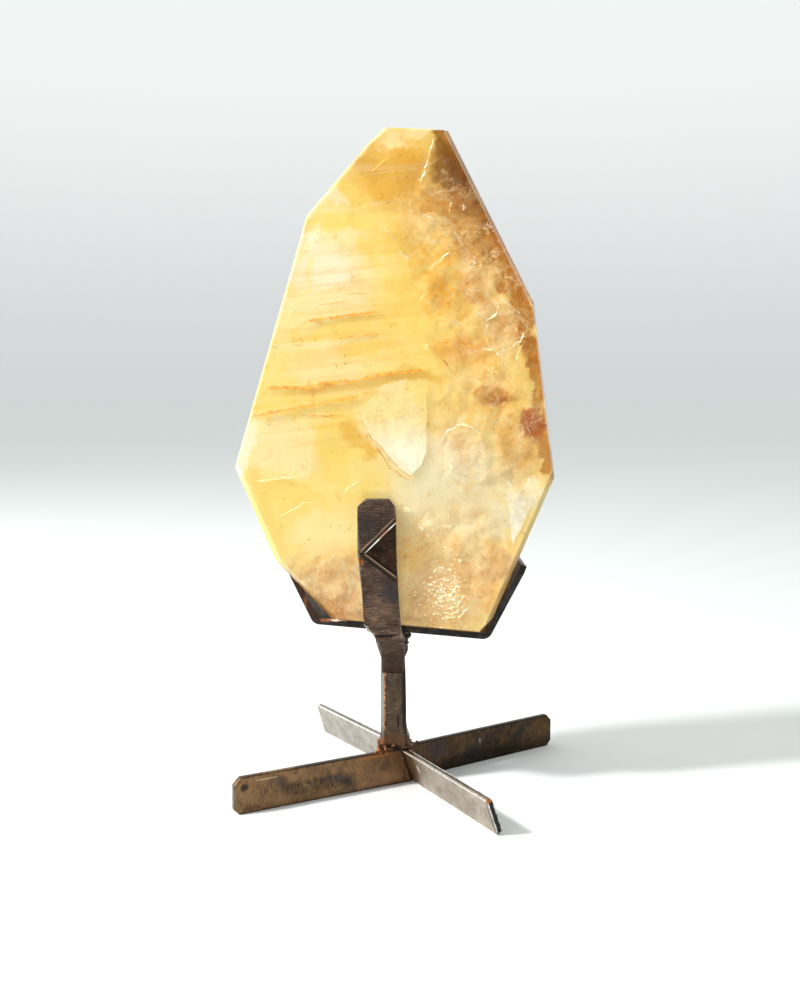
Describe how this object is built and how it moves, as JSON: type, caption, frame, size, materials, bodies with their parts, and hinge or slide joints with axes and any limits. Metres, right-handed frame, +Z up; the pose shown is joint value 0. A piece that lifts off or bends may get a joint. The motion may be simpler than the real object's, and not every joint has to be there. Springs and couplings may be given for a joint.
{
  "type": "golden healer quartz on a stand",
  "caption": "Faceted, polished slab of golden healer quartz, held upright in a hand-made bronzed flat-bar stand with a cross foot, a post, a bent cradle strap and a front and back prong.",
  "frame": {"origin": "on the floor, on the axis of the post, at the middle of the post's foot between the four foot bars", "axes": "+Z up, -Y the way the stone's broad front face looks, +X to the right of someone who looks at that face"},
  "size_m": [0.1753, 0.1664, 0.3424],
  "materials": {
    "quartz": "polished, cloudy yellow to amber quartz with iron-stained veils and frosty cracks",
    "bronzed_bar": "dark bronze patina, brushed, with copper-coloured weld beads and worn edges"
  },
  "bodies": {
    "root": {"quartz": "quartz", "foot_bar_left": "bronzed_bar", "foot_bar_right": "bronzed_bar", "foot_bar_front": "bronzed_bar", "foot_bar_back": "bronzed_bar", "post": "bronzed_bar", "cradle_strap": "bronzed_bar", "prong_front": "bronzed_bar", "prong_back": "bronzed_bar", "ornament_bar_upper": "bronzed_bar", "ornament_bar_lower": "bronzed_bar", "ornament_plate": "bronzed_bar"}
  },
  "joints": []
}
